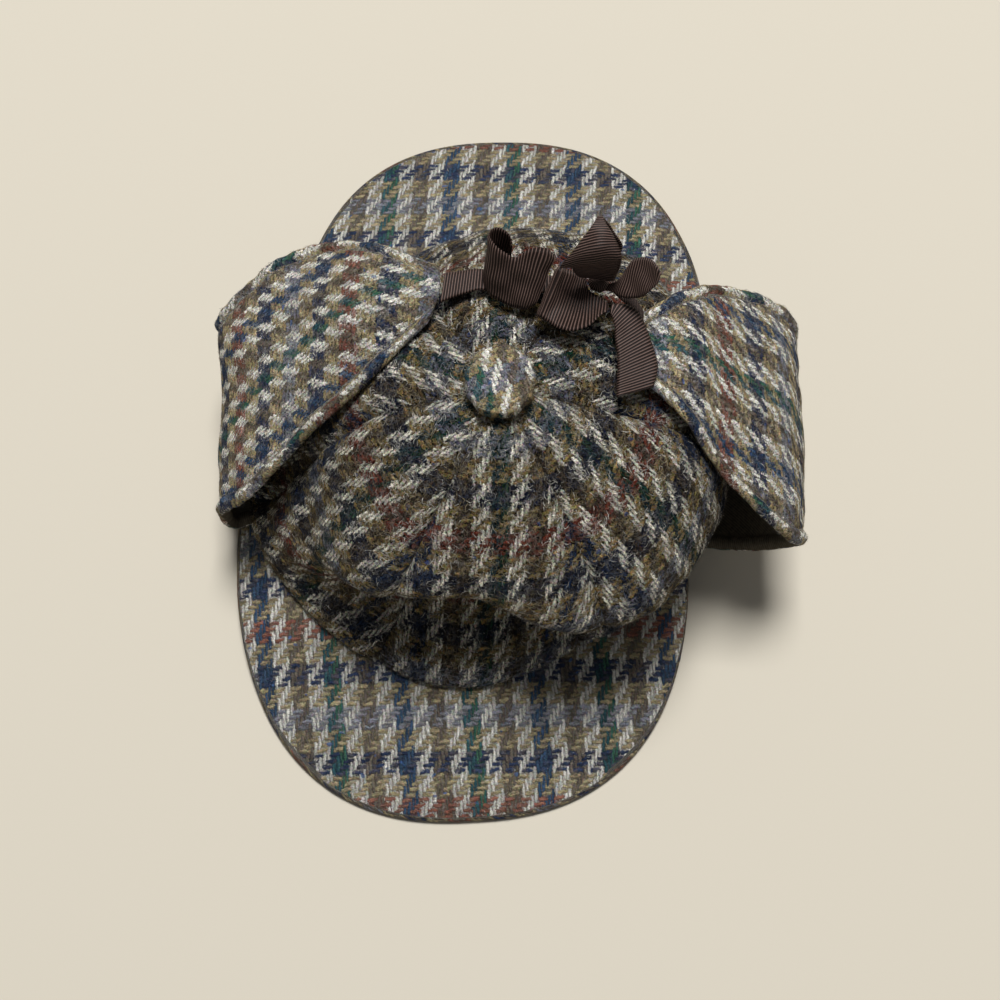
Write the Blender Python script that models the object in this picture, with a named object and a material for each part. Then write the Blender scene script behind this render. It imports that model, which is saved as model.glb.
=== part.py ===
"""Deerstalker hat of checked tweed, its ear flaps tied up over the crown with a ribbon.

The tables are in millimetres, in the hat's own frame: the crown's base ring is centred on
the origin, +Z is up, the front peak points to -Y and the hat's left flap lies at -X.
The finished assembly is moved so that the middle of its footprint is the world's origin.
"""

import math

import bpy
import numpy as np
from mathutils import Matrix, Vector

MM = 0.001

# Driving sizes
CROWN_CLOTH = 2.4           # thickness of one wall of the crown
DOUBLE_CLOTH = 3.0          # thickness of the peaks and flaps, two layers and a stiffener
RIBBON_CLOTH = 1.0
GAP = 0.3                   # clearance between pieces that touch
RIM_HEIGHT = 17.0           # the crown's lower rim above the floor
HEM_HEIGHT = 4.0            # upright band at the foot of the crown
RIM_TUCK = 4.0              # how far the peaks and flaps reach in under the rim
LEAN = (8.0, 1.0)           # how far the crown's top leans off the base ring's centre
SEAM_DIP = 1.6              # depth of the groove along each seam of the crown
SEAM_SHARPNESS = 6          # how closely the groove keeps to the seam
BUTTON_RADIUS = 11.5
BUTTON_HEIGHT = 8.0
BUTTON_PROFILE = [
    # share of radius, share of height
    (0, 0),
    (0.80, 0),
    (1.0, 0.22),
    (0.98, 0.5),
    (0.82, 0.78),
    (0.45, 0.95),
    (0, 1),
]

# The crown's meridians, one row for every 30 degrees from +X, measured from its leaning axis.
# The waist is the narrow place over the rim, and the lip is the soft fold that hangs over it.
CROWN_SECTIONS = [
    # azimuth, rim_r, waist_r, waist_z, lip_r, lip_z, shoulder_r, shoulder_z
    (0, 93, 90, 40, 92, 62, 76, 94),
    (30, 92, 89, 40, 89, 66, 74, 95),
    (60, 91, 88, 42, 87, 68, 72, 96),
    (90, 89, 85, 42, 81, 70, 66, 96),
    (120, 90, 82, 42, 73, 72, 58, 96),
    (150, 95, 80, 40, 69, 72, 54, 95),
    (180, 99, 78, 38, 68, 68, 55, 92),
    (210, 95, 91, 33, 77, 62, 65, 91),
    (240, 92, 66, 42, 80, 81, 64, 96),
    (270, 91, 57, 46, 70, 83, 58, 97.5),
    (300, 85, 68, 40, 88, 75, 72, 93),
    (330, 92, 84, 36, 93, 70, 77, 95),
]
CREST = (40.0, 110.5)       # radius and height where every meridian rounds over
TOP = (9.5, 116.0)          # radius and height of the hole that the button covers

# Azimuths of the six seams; each gore runs from its seam to the next row's.
GORES = [
    # name, first_seam, last_seam
    ("crown_gore_rear", 59, 130),
    ("crown_gore_rear_left", 130, 195),
    ("crown_gore_front_left", 195, 247),
    ("crown_gore_front", 247, 302),
    ("crown_gore_front_right", 302, 354),
    ("crown_gore_rear_right", 354, 419),
]

# Each peak is a crescent from the rim out to a squared ellipse, which is turned a little.
PEAKS = [
    # name, centre_x, centre_y, half_width, reach, squareness, turn,
    # first_angle, last_angle, first_rim, last_rim
    ("front_peak", -5.7, -35, 92.5, 108.5, 2.43, 7.2, 176.8, 358.1, 201.5, 341),
    ("rear_peak", 5, 58, 87.5, 98.5, 2.4, 4.5, 0.0, 177.6, 36, 144),
]
PEAK_END_LIFT = 10.0        # how far the ends of a peak's edge rise off the floor
PEAK_END_SHARE = 0.18       # share of the edge at each end that rises
PEAK_END_CURVE = 1.5        # how late in that share the edge rises
PEAK_DROP_CURVE = 1.3       # how late the peak drops on its way from the rim to its edge

# Each flap's sections from the rim to the tip, with a point on each hem and one between.
LEFT_FLAP = [
    # front_x, y, z, middle_x, y, z, rear_x, y, z
    ("tuck", -87.5, -29, 15.0, -95, 8, 15.0, -76, 50, 15.0),
    ("turn", -97.5, -33, 15.0, -104, 8, 15.0, -84, 56, 15.0),
    ("side", -98, -35, 33, -102.5, 6, 34, -97, 49, 35),
    ("belly", -96.5, -35.5, 50, -99.5, 5, 54, -107, 43, 53),
    ("over", -84, -33, 66, -87, 14, 75, -94, 53, 69),
    ("face", -63, -16, 87, -63, 22, 96, -68, 63, 84),
    ("neck", -40, 0, 109, -42, 28, 113, -43, 57, 103),
    ("tip", -19, 22, 116, -16, 33, 118, -17, 45, 115),
]
RIGHT_FLAP = [
    # front_x, y, z, middle_x, y, z, rear_x, y, z
    ("tuck", 84, -25, 15.0, 89, 8, 15.0, 75, 48, 15.0),
    ("turn", 94, -28, 15.0, 98, 10, 15.0, 83, 54, 15.0),
    ("side", 114, -31, 31, 117, 12, 32, 108, 54, 33),
    ("belly", 126.5, -32, 47, 122.5, 12, 57, 119.5, 54, 57),
    ("over", 118, -35, 66, 112, 16, 80, 111, 59, 68),
    ("face", 94, -23, 89, 90, 18, 96, 88, 56, 88),
    ("neck", 73, -4, 108, 73, 22, 108, 71, 46, 103),
    ("tip", 57, 8, 111.5, 56, 20, 111.5, 56, 33, 110.5),
]

# Each ribbon piece's sections, with a point on each selvedge and how far the middle sags.
LEFT_TIE = [
    # near_x, y, z, far_x, y, z, sag
    ("flap", -15.3, 29.5, 117.6, -14.5, 41, 117, 0),
    ("rise", -8.5, 33, 117.5, -8, 42.5, 117.5, 0),
    ("crown", -1.5, 35.5, 117, -1.5, 44, 116.5, 0),
    ("under", 12.5, 35.5, 116, 12, 43, 115.5, 0),
    ("knot", 35.8, 38.5, 117.5, 35.8, 43.5, 117.5, 0),
]
LEFT_LOOP = [
    ("root", 18.5, 30.5, 119.5, 24.5, 44.5, 130, 0),
    ("lobe", 15, 28.5, 119, 20.5, 45, 135, 0),
    ("dent", 11.5, 29, 118.5, 14.5, 44, 135, 0),
    ("fold", 8.5, 30, 118, 10.5, 41.5, 133, 0),
    ("face", 5, 32, 118, 6.5, 42.5, 135, 0),
    ("side", 1.5, 34, 118, 3, 44.5, 137, 0),
    ("bend", -0.5, 38, 118, 1, 47, 138, 0),
    ("turn_back", -0.5, 42.5, 118, 2, 49.5, 138, 0),
    ("far_end", 2, 46, 118, 5, 50.5, 137, 0),
    ("return", 6, 47, 118, 8, 49, 135, 0),
    ("behind", 8.5, 44.5, 118, 8.5, 46.5, 132, 0),
]
CENTRE_LOOP = [
    ("root", 20.5, 30.5, 118, 26.5, 44, 121, 0),
    ("turn", 19, 26, 120.5, 25.5, 42.5, 126, 0),
    ("ridge", 20.5, 24.5, 122, 26.5, 40.5, 130, 0),
    ("inside", 23.5, 23, 122, 28.5, 41.5, 126, 1.5),
    ("face", 27, 21, 122.5, 32, 43, 121.5, 3),
    ("bowl", 31.5, 20, 123, 35, 41.5, 119.5, 4),
    ("rim", 36.5, 22, 123, 37, 37, 119.5, 3),
    ("close", 40.5, 26, 123, 41, 34.5, 120, 1),
    ("end", 43.8, 29, 122.5, 43.8, 32, 121, 0),
]
TOP_LOOP = [
    ("root", 32.5, 40.3, 123.4, 45.5, 40.5, 121, 0),
    ("throat", 29.5, 40, 131, 46.5, 40.8, 132, 0),
    ("brow", 26, 38, 136, 46.5, 41, 140, -2),
    ("crest", 29, 40.5, 141, 45, 43.5, 144, -2),
    ("narrow", 33, 46, 144, 43, 47, 145, -1),
    ("peak", 36, 50.5, 144.5, 40.5, 51, 144.5, 0),
    ("apex", 37.5, 54, 143, 39.5, 54.5, 142, 0),
    ("turn", 39.5, 54.5, 138, 43, 53, 137, 0),
    ("back", 40.5, 52.5, 130, 47, 49.5, 131, 0),
    ("foot", 40, 48.5, 122, 45.5, 47, 122, 0),
]
RIGHT_LOOP = [
    ("root", 42.3, 37.3, 120.6, 43.6, 39.4, 120.9, 0),
    ("spread", 45, 35.5, 122.5, 47.3, 39, 126, 0),
    ("bowl", 48, 33, 124.5, 50.5, 43.5, 132, 0),
    ("curl", 52, 31.5, 128, 54, 43.5, 136, 0),
    ("rise", 55.5, 31, 132, 57.5, 41, 139, 0),
    ("round", 57.5, 32, 136, 59, 38, 141, 0),
    ("tip", 58.5, 33, 138.5, 60, 35.5, 141, 0),
]
RIGHT_TAIL = [
    ("root", 44.7, 28, 121.5, 44.7, 31.5, 121.5, 0),
    ("arc", 45.5, 26.5, 121, 49.5, 32, 121.5, 0),
    ("bend", 46.5, 23, 120.5, 53.5, 30.5, 121, 0),
    ("ridge", 47, 19, 120, 56.5, 27, 119.5, 0),
    ("fall", 48, 14, 119, 59, 22, 118, 0),
    ("lie", 48.5, 8.5, 118, 61.5, 16, 116.5, 0),
    ("low", 48.5, 4, 117, 62.5, 11, 115.5, 0),
    ("cut", 48.5, -1, 116.5, 61.5, 4.5, 114.5, 0),
]
RIGHT_TIE = [
    ("flap", 57, 26, 114, 57, 33, 112.9, 0),
    ("rise", 53, 31.5, 115.5, 52.5, 38.5, 115, 0),
    ("knot", 44.6, 38.5, 117.5, 44.6, 43.5, 117.5, 0),
]
RIBBONS = [
    # name, sections, cells across and along
    ("ribbon_left_tie", LEFT_TIE, (2, 6)),
    ("ribbon_left_loop", LEFT_LOOP, (2, 22)),
    ("ribbon_centre_loop", CENTRE_LOOP, (2, 16)),
    ("ribbon_top_loop", TOP_LOOP, (2, 24)),
    ("ribbon_right_loop", RIGHT_LOOP, (2, 10)),
    ("ribbon_right_tail", RIGHT_TAIL, (2, 14)),
    ("ribbon_right_tie", RIGHT_TIE, (2, 5)),
]
KNOT_CENTRE = (40.2, 41, 118.3)
KNOT_RADII = (3.8, 3.8, 3.4)

# Finishes, each a base colour and a roughness
CROWN_TWEED = ((0.135, 0.115, 0.085, 1.0), 0.95)
BRIM_TWEED = ((0.16, 0.125, 0.08, 1.0), 0.95)
GROSGRAIN = ((0.045, 0.027, 0.02, 1.0), 0.6)

# Cells across and along each wall, and round each turned piece
GORE_CELLS = (10, 18)
PEAK_CELLS = (36, 5)
FLAP_CELLS = (10, 18)
BUTTON_SIDES = 24
KNOT_SIDES = 12
KNOT_RINGS = 6
SHARP_ANGLE = math.radians(50)

# Where a face lies in its wall's thickness: the share of the wall that is outside it
AT_OUTSIDE = 0.0
IN_MIDDLE = 0.5


def around(rows, azimuth):
    """Read every column of a table whose rows are evenly spaced round a circle."""
    values = np.array(rows, dtype=float)[:, 1:]
    count = len(values)
    position = (azimuth % 360.0) / (360.0 / count)
    first = int(position)
    step = position - first
    before, here, after, beyond = (values[(first + shift) % count] for shift in (-1, 0, 1, 2))
    return hermite(here, after, (after - before) / 2, (beyond - here) / 2, step)


def hermite(start, end, start_slope, end_slope, step):
    """Return the point at step, 0 to 1, on the cubic curve between two points."""
    square = step * step
    cube = square * step
    return ((2 * cube - 3 * square + 1) * start + (cube - 2 * square + step) * start_slope
            + (3 * square - 2 * cube) * end + (cube - square) * end_slope)


def smooth_path(points, share):
    """Return the point at share, 0 to 1, of a smooth curve through the points."""
    points = np.array(points, dtype=float)
    knots = np.concatenate([[0.0], np.cumsum(np.linalg.norm(np.diff(points, axis=0), axis=1))])
    last = len(points) - 1
    place = share * knots[-1]
    first = min(max(int(np.searchsorted(knots, place, side="right")) - 1, 0), last - 1)
    span = knots[first + 1] - knots[first]

    def slope(index):
        low, high = max(index - 1, 0), min(index + 1, last)
        return (points[high] - points[low]) / (knots[high] - knots[low])

    return hermite(points[first], points[first + 1], slope(first) * span,
                   slope(first + 1) * span, (place - knots[first]) / span)


def crown_point(azimuth, share, groove=0.0):
    """Return a point of the crown's outer face, share 0 at the rim and 1 under the button."""
    rim_r, waist_r, waist_z, lip_r, lip_z, shoulder_r, shoulder_z = around(CROWN_SECTIONS, azimuth)
    meridian = [(rim_r, RIM_HEIGHT), (rim_r, RIM_HEIGHT + HEM_HEIGHT), (waist_r, waist_z),
                (lip_r, lip_z), (shoulder_r, shoulder_z), CREST, TOP]
    radius, height = smooth_path(meridian, share)
    radius -= groove
    rise = (height - RIM_HEIGHT) / (TOP[1] - RIM_HEIGHT)
    angle = math.radians(azimuth)
    return Vector((LEAN[0] * rise + radius * math.cos(angle),
                   LEAN[1] * rise + radius * math.sin(angle), height))


def gore_face(first_seam, last_seam):
    """Return the outer face of one gore, puffed between its two seams."""
    def face(across, along):
        middle = (first_seam + last_seam) / 2
        half = (last_seam - first_seam) / 2
        radius = crown_point(middle, along).xy.length
        half -= math.degrees(GAP / 2 / max(radius, TOP[0]))
        groove = SEAM_DIP * abs(across) ** SEAM_SHARPNESS * math.sqrt(math.sin(math.pi * along))
        return crown_point(middle + across * half, along, groove)
    return face


def rim_point(azimuth, outward):
    """Return the plan point on the rim at an azimuth, moved outward from it."""
    radius = around(CROWN_SECTIONS, azimuth)[0] + outward
    angle = math.radians(azimuth)
    return Vector((radius * math.cos(angle), radius * math.sin(angle)))


def peak_face(centre_x, centre_y, half_width, reach, squareness, turn,
              first_angle, last_angle, first_rim, last_rim):
    """Return the middle face of a peak, from its tuck under the rim to its outer edge."""
    def squared(ratio):
        return math.copysign(abs(ratio) ** (2 / squareness), ratio)

    def face(across, along):
        sweep = (across + 1) / 2
        inner = rim_point(first_rim + (last_rim - first_rim) * sweep, -RIM_TUCK)
        angle = math.radians(first_angle + (last_angle - first_angle) * sweep)
        outer = Vector((half_width * squared(math.cos(angle)), reach * squared(math.sin(angle))))
        outer.rotate(Matrix.Rotation(math.radians(turn), 2))
        ends = max(0.0, 1 - min(sweep, 1 - sweep) / PEAK_END_SHARE)
        outer_z = DOUBLE_CLOTH / 2 + PEAK_END_LIFT * ends ** PEAK_END_CURVE
        inner_z = RIM_HEIGHT - GAP - DOUBLE_CLOTH / 2
        plan = inner.lerp(outer + Vector((centre_x, centre_y)), along)
        return Vector((plan.x, plan.y, inner_z + (outer_z - inner_z) * along ** PEAK_DROP_CURVE))
    return face


def flap_face(rows):
    """Return the middle face of an ear flap from its table of sections."""
    sections = [row[1:] for row in rows]

    def face(across, along):
        front, middle, rear = smooth_path(sections, along).reshape(3, 3)
        bow = (front + rear) / 2 - middle
        return Vector(middle + (rear - front) / 2 * across + bow * across * across)
    return face


def ribbon_face(rows):
    """Return the middle face of a length of ribbon from its table of sections."""
    sections = [row[1:] for row in rows]

    def face(across, along):
        *selvedges, sag = smooth_path(sections, along)
        near, far = np.reshape(selvedges, (2, 3))
        drop = Vector((0, 0, sag * (1 - across ** 2)))
        return Vector(near + (far - near) * (across + 1) / 2) - drop
    return face


def cloth_solid(name, face, cells, thickness, outer_share, finish):
    """Build a closed wall round a face given by across, -1 to 1, and along, 0 to 1."""
    columns, rows = cells

    def normal(across, along):
        step = 0.01
        sideways = face(min(across + step, 1), along) - face(max(across - step, -1), along)
        forward = face(across, min(along + step, 1)) - face(across, max(along - step, 0))
        return sideways.cross(forward).normalized()

    outer, inner = [], []
    for row in range(rows + 1):
        for column in range(columns + 1):
            place = (2 * column / columns - 1, row / rows)
            middle, lift = face(*place), normal(*place)
            outer.append((middle + lift * thickness * outer_share) * MM)
            inner.append((middle - lift * thickness * (1 - outer_share)) * MM)

    def corner(row, column):
        return row * (columns + 1) + column

    faces = []
    back = len(outer)
    for row in range(rows):
        for column in range(columns):
            near, beside = corner(row, column), corner(row, column + 1)
            far, above = corner(row + 1, column + 1), corner(row + 1, column)
            for triangle in ([near, beside, far], [near, far, above]):
                faces.append(triangle)
                faces.append([back + index for index in reversed(triangle)])
    border = ([corner(0, column) for column in range(columns)]
              + [corner(row, columns) for row in range(rows)]
              + [corner(rows, column) for column in range(columns, 0, -1)]
              + [corner(row, 0) for row in range(rows, 0, -1)])
    for here, after in zip(border, border[1:] + border[:1]):
        faces.append([after, here, back + here, back + after])
    return add_object(name, outer + inner, faces, finish)


def add_object(name, corners, faces, finish):
    """Add one named object with a material of its own."""
    colour, roughness = finish
    mesh = bpy.data.meshes.new(name)
    mesh.from_pydata([tuple(corner) for corner in corners], [], faces)
    mesh.validate()
    mesh.shade_smooth()
    mesh.set_sharp_from_angle(angle=SHARP_ANGLE)
    material = bpy.data.materials.new(name + "_cloth")
    material.use_nodes = True
    shader = material.node_tree.nodes["Principled BSDF"]
    shader.inputs["Base Color"].default_value = colour
    shader.inputs["Roughness"].default_value = roughness
    mesh.materials.append(material)
    piece = bpy.data.objects.new(name, mesh)
    bpy.context.collection.objects.link(piece)
    return piece


def turned_solid(name, profile, sides, centre, stretch, finish):
    """Turn a profile of (radius, height) rows, bottom to top, into a closed solid."""
    corners, faces = [], []
    for radius, height in profile[1:-1]:
        for side in range(sides):
            angle = 2 * math.pi * side / sides
            corners.append((radius * math.cos(angle), radius * math.sin(angle), height))
    rings = len(profile) - 2
    for ring in range(rings - 1):
        for side in range(sides):
            beside = (side + 1) % sides
            faces.append([ring * sides + side, ring * sides + beside,
                          (ring + 1) * sides + beside, (ring + 1) * sides + side])
    bottom, top = len(corners), len(corners) + 1
    corners += [(0, 0, profile[0][1]), (0, 0, profile[-1][1])]
    for side in range(sides):
        beside = (side + 1) % sides
        faces.append([bottom, beside, side])
        faces.append([top, (rings - 1) * sides + side, (rings - 1) * sides + beside])
    placed = [Vector(centre) + Vector(corner) * Vector(stretch) for corner in corners]
    return add_object(name, [corner * MM for corner in placed], faces, finish)


def build_button():
    """Build the cloth-covered button on the crown's top."""
    foot = (LEAN[0], LEAN[1], TOP[1] + GAP)
    stretch = (BUTTON_RADIUS, BUTTON_RADIUS, BUTTON_HEIGHT)
    return turned_solid("crown_button", BUTTON_PROFILE, BUTTON_SIDES, foot, stretch, CROWN_TWEED)


def build_knot():
    """Build the small knot that gathers the ribbon."""
    profile = [(math.sin(math.pi * ring / KNOT_RINGS), -math.cos(math.pi * ring / KNOT_RINGS))
               for ring in range(KNOT_RINGS + 1)]
    return turned_solid("ribbon_knot", profile, KNOT_SIDES, KNOT_CENTRE, KNOT_RADII, GROSGRAIN)


def footprint_middle(pieces):
    """Return the middle of the pieces' footprint, at the height of their lowest point."""
    corners = np.array([corner.co for piece in pieces for corner in piece.data.vertices])
    low, high = corners.min(axis=0), corners.max(axis=0)
    return Vector(((low[0] + high[0]) / 2, (low[1] + high[1]) / 2, low[2]))


def build_hat():
    """Build every piece and stand the hat on the world's origin."""
    pieces = []
    for name, first_seam, last_seam in GORES:
        face = gore_face(first_seam, last_seam)
        pieces.append(cloth_solid(name, face, GORE_CELLS, CROWN_CLOTH, AT_OUTSIDE, CROWN_TWEED))
    pieces.append(build_button())
    for name, *outline in PEAKS:
        face = peak_face(*outline)
        pieces.append(cloth_solid(name, face, PEAK_CELLS, DOUBLE_CLOTH, IN_MIDDLE, BRIM_TWEED))
    for name, rows in (("left_ear_flap", LEFT_FLAP), ("right_ear_flap", RIGHT_FLAP)):
        face = flap_face(rows)
        pieces.append(cloth_solid(name, face, FLAP_CELLS, DOUBLE_CLOTH, IN_MIDDLE, BRIM_TWEED))
    for name, rows, cells in RIBBONS:
        face = ribbon_face(rows)
        pieces.append(cloth_solid(name, face, cells, RIBBON_CLOTH, IN_MIDDLE, GROSGRAIN))
    pieces.append(build_knot())

    hat = bpy.data.objects.new("deerstalker_hat", None)
    bpy.context.collection.objects.link(hat)
    hat.location = -footprint_middle(pieces)
    for piece in pieces:
        piece.parent = hat


for leftover in list(bpy.data.objects):
    bpy.data.objects.remove(leftover)
build_hat()
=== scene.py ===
"""Looks of the deerstalker hat: brushed tweed in a gun-club check, rolled hems, a ribbon bow.

The tables are in millimetres in the hat's own frame, the one its solids are built in: the
crown's base ring is centred on the origin, +Z is up, the front peak points to -Y and the left
flap lies at -X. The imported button's place gives where that frame lies in the part.
"""

import math

import bpy
import numpy as np
from mathutils import Matrix, Vector


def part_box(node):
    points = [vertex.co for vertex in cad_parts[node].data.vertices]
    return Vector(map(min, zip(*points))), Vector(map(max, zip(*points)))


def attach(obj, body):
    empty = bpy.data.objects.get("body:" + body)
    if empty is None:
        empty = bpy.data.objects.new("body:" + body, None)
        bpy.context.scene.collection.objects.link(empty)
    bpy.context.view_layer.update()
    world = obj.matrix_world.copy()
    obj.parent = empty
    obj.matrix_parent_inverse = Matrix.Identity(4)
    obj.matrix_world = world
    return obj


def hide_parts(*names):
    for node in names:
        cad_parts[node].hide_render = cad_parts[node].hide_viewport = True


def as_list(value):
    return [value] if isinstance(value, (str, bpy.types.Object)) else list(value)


MM = 0.001
SEED = 7

# ---- sizes of the hat
CROWN_CLOTH = 2.4
DOUBLE_CLOTH = 3.0
RIBBON_CLOTH = 0.8
RIM_HEIGHT = 17.0  # the crown's lower rim above the floor
HEM_HEIGHT = 4.0  # upright band at the foot of the crown
RIM_TUCK = 4.0  # how far the peaks reach in under the rim
LEAN = (8.0, 1.0)  # how far the crown's top leans off the base ring's centre
BUTTON_RADIUS = 11.5
BUTTON_HEIGHT = 8.0
BUTTON_GAP = 0.3  # clearance under the button

# The crown's meridians, one row for every 30 degrees from +X, measured from its leaning axis.
CROWN_SECTIONS = [
    # azimuth, rim_r, waist_r, waist_z, lip_r, lip_z, shoulder_r, shoulder_z
    (0, 93, 90, 40, 92, 62, 76, 94),
    (30, 92, 89, 40, 89, 66, 74, 95),
    (60, 91, 88, 42, 87, 68, 72, 96),
    (90, 89, 85, 42, 81, 70, 66, 96),
    (120, 90, 82, 42, 73, 72, 58, 96),
    (150, 95, 80, 40, 69, 72, 54, 95),
    (180, 99, 78, 38, 68, 68, 55, 92),
    (210, 95, 91, 33, 77, 62, 65, 91),
    (240, 92, 66, 42, 80, 81, 64, 96),
    (270, 91, 57, 46, 70, 83, 58, 97.5),
    (300, 85, 68, 40, 88, 75, 72, 93),
    (330, 92, 84, 36, 93, 70, 77, 95),
]
CREST = (40.0, 110.5)  # radius and height where every meridian rounds over
TOP = (9.5, 116.0)  # radius and height of the hole that the button covers

GORES = [
    # name, first_seam, last_seam
    ("crown_gore_rear", 59, 130),
    ("crown_gore_rear_left", 130, 195),
    ("crown_gore_front_left", 195, 247),
    ("crown_gore_front", 247, 302),
    ("crown_gore_front_right", 302, 354),
    ("crown_gore_rear_right", 354, 419),
]

PEAKS = [
    # name, centre_x, centre_y, half_width, reach, squareness, turn,
    # first_angle, last_angle, first_rim, last_rim
    ("front_peak", -5.7, -35, 92.5, 108.5, 2.43, 7.2, 176.8, 358.1, 201.5, 341),
    ("rear_peak", 5, 58, 87.5, 98.5, 2.4, 4.5, 0.0, 177.6, 36, 144),
]
PEAK_END_LIFT = 10.0  # how far the ends of a peak's edge rise off the floor
PEAK_END_SHARE = 0.18  # share of the edge at each end that rises
PEAK_END_CURVE = 1.5  # how late in that share the edge rises
PEAK_DROP_CURVE = 1.3  # how late the peak drops on its way from the rim to its edge

LEFT_FLAP = [
    # front_x, y, z, middle_x, y, z, rear_x, y, z
    ("tuck", -87.5, -29, 15.0, -95, 8, 15.0, -76, 50, 15.0),
    ("turn", -97.5, -33, 15.0, -104, 8, 15.0, -84, 56, 15.0),
    ("side", -98, -35, 33, -102.5, 6, 34, -97, 49, 35),
    ("belly", -96.5, -35.5, 50, -99.5, 5, 54, -107, 43, 53),
    ("over", -84, -33, 66, -87, 14, 75, -94, 53, 69),
    ("face", -63, -16, 87, -63, 22, 96, -68, 63, 84),
    ("neck", -40, 0, 109, -42, 28, 113, -43, 57, 103),
    ("tip", -19, 22, 116, -16, 33, 118, -17, 45, 115),
]
RIGHT_FLAP = [
    # front_x, y, z, middle_x, y, z, rear_x, y, z
    ("tuck", 84, -25, 15.0, 89, 8, 15.0, 75, 48, 15.0),
    ("turn", 94, -28, 15.0, 98, 10, 15.0, 83, 54, 15.0),
    ("side", 114, -31, 31, 117, 12, 32, 108, 54, 33),
    ("belly", 126.5, -32, 47, 122.5, 12, 57, 119.5, 54, 57),
    ("over", 118, -35, 66, 112, 16, 80, 111, 59, 68),
    ("face", 94, -23, 89, 90, 18, 96, 88, 56, 88),
    ("neck", 73, -4, 108, 73, 22, 108, 71, 46, 103),
    ("tip", 57, 8, 111.5, 56, 20, 111.5, 56, 33, 110.5),
]

LEFT_TIE = [
    # near_x, y, z, far_x, y, z, sag
    ("flap", -15.3, 29.5, 117.6, -14.5, 41, 117, 0),
    ("rise", -8.5, 33, 117.5, -8, 42.5, 117.5, 0),
    ("crown", -1.5, 35.5, 117, -1.5, 44, 116.5, 0),
    ("under", 12.5, 35.5, 116, 12, 43, 115.5, 0),
    ("knot", 35.8, 38.5, 117.5, 35.8, 43.5, 117.5, 0),
]
LEFT_LOOP = [
    ("root", 18.5, 30.5, 119.5, 24.5, 44.5, 130, 0),
    ("lobe", 15, 28.5, 119, 20.5, 45, 135, 0),
    ("dent", 11.5, 29, 118.5, 14.5, 44, 135, 0),
    ("fold", 8.5, 30, 118, 10.5, 41.5, 133, 0),
    ("face", 5, 32, 118, 6.5, 42.5, 135, 0),
    ("side", 1.5, 34, 118, 3, 44.5, 137, 0),
    ("bend", -0.5, 38, 118, 1, 47, 138, 0),
    ("turn_back", -0.5, 42.5, 118, 2, 49.5, 138, 0),
    ("far_end", 2, 46, 118, 5, 50.5, 137, 0),
    ("return", 6, 47, 118, 8, 49, 135, 0),
    ("behind", 8.5, 44.5, 118, 8.5, 46.5, 132, 0),
]
CENTRE_LOOP = [
    ("root", 20.5, 30.5, 118, 26.5, 44, 121, 0),
    ("turn", 19, 26, 120.5, 25.5, 42.5, 126, 0),
    ("ridge", 20.5, 24.5, 122, 26.5, 40.5, 130, 0),
    ("inside", 23.5, 23, 122, 28.5, 41.5, 126, 1.5),
    ("face", 27, 21, 122.5, 32, 43, 121.5, 3),
    ("bowl", 31.5, 20, 123, 35, 41.5, 119.5, 4),
    ("rim", 36.5, 22, 123, 37, 37, 119.5, 3),
    ("close", 40.5, 26, 123, 41, 34.5, 120, 1),
    ("end", 43.8, 29, 122.5, 43.8, 32, 121, 0),
]
TOP_LOOP = [
    ("root", 32.5, 40.3, 123.4, 45.5, 40.5, 121, 0),
    ("throat", 29.5, 40, 131, 46.5, 40.8, 132, 0),
    ("brow", 26, 38, 136, 46.5, 41, 140, -2),
    ("crest", 29, 40.5, 141, 45, 43.5, 144, -2),
    ("narrow", 33, 46, 144, 43, 47, 145, -1),
    ("peak", 36, 50.5, 144.5, 40.5, 51, 144.5, 0),
    ("apex", 37.5, 54, 143, 39.5, 54.5, 142, 0),
    ("turn", 39.5, 54.5, 138, 43, 53, 137, 0),
    ("back", 40.5, 52.5, 130, 47, 49.5, 131, 0),
    ("foot", 40, 48.5, 122, 45.5, 47, 122, 0),
]
RIGHT_LOOP = [
    ("root", 42.3, 37.3, 120.6, 43.6, 39.4, 120.9, 0),
    ("spread", 45, 35.5, 122.5, 47.3, 39, 126, 0),
    ("bowl", 48, 33, 124.5, 50.5, 43.5, 132, 0),
    ("curl", 52, 31.5, 128, 54, 43.5, 136, 0),
    ("rise", 55.5, 31, 132, 57.5, 41, 139, 0),
    ("round", 57.5, 32, 136, 59, 38, 141, 0),
    ("tip", 58.5, 33, 138.5, 60, 35.5, 141, 0),
]
RIGHT_TAIL = [
    ("root", 44.7, 28, 121.5, 44.7, 31.5, 121.5, 0),
    ("arc", 45.5, 26.5, 121, 49.5, 32, 121.5, 0),
    ("bend", 46.5, 23, 120.5, 53.5, 30.5, 121, 0),
    ("ridge", 47, 19, 120, 56.5, 27, 119.5, 0),
    ("fall", 48, 14, 119, 59, 22, 118, 0),
    ("lie", 48.5, 8.5, 118, 61.5, 16, 116.5, 0),
    ("low", 48.5, 4, 117, 62.5, 11, 115.5, 0),
    ("cut", 48.5, -1, 116.5, 61.5, 4.5, 114.5, 0),
]
RIGHT_TIE = [
    ("flap", 57, 26, 114, 57, 33, 112.9, 0),
    ("rise", 53, 31.5, 115.5, 52.5, 38.5, 115, 0),
    ("knot", 44.6, 38.5, 117.5, 44.6, 43.5, 117.5, 0),
]
RIBBONS = [
    ("ribbon_left_tie", LEFT_TIE),
    ("ribbon_left_loop", LEFT_LOOP),
    ("ribbon_centre_loop", CENTRE_LOOP),
    ("ribbon_top_loop", TOP_LOOP),
    ("ribbon_right_loop", RIGHT_LOOP),
    ("ribbon_right_tail", RIGHT_TAIL),
    ("ribbon_right_tie", RIGHT_TIE),
]
KNOT_CENTRE = (40.2, 41, 118.3)
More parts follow.
